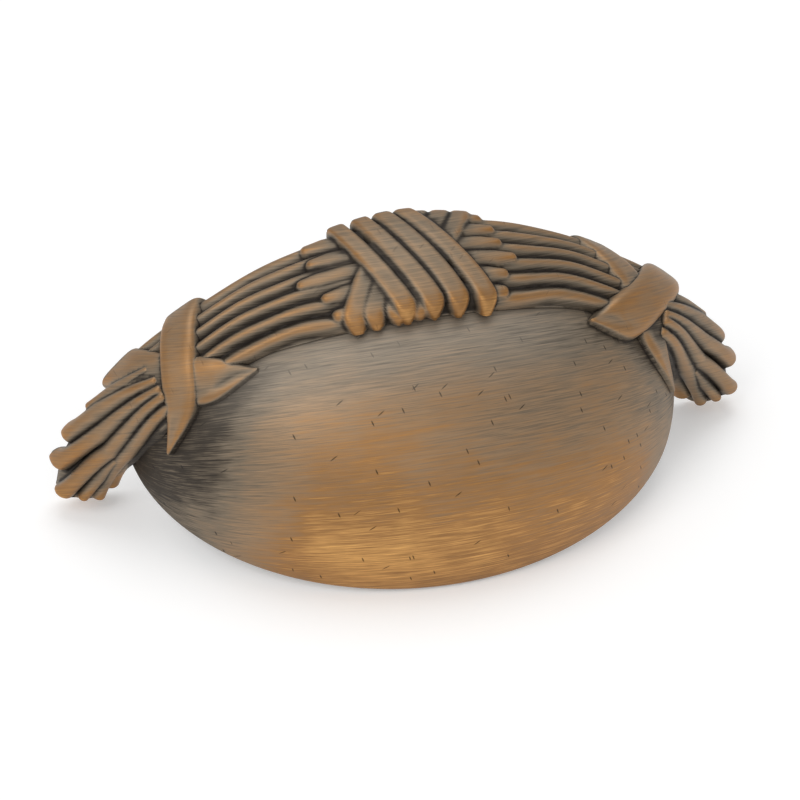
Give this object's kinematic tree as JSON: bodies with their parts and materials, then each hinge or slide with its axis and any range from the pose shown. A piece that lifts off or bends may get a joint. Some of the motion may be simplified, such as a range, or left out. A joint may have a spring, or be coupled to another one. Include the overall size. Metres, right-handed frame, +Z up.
{
  "type": "edge cup pull",
  "caption": "Half-dome finger cup pull under a carved arch of bound reeds with leaf wings, fixed by screws from behind.",
  "frame": {"origin": "under the middle of the pull, on the level of the lip's lowest point and the feet of the wings", "axes": "+X along the drawer front, +Y into the drawer, square to the mounting face, +Z up"},
  "size_m": [0.1042, 0.0346, 0.0422],
  "materials": {
    "antique_bronze": "antique brushed bronze, dark in the hollows and rubbed to copper on the high spots"
  },
  "bodies": {
    "root": {"cup_pull": "antique_bronze"}
  },
  "joints": []
}
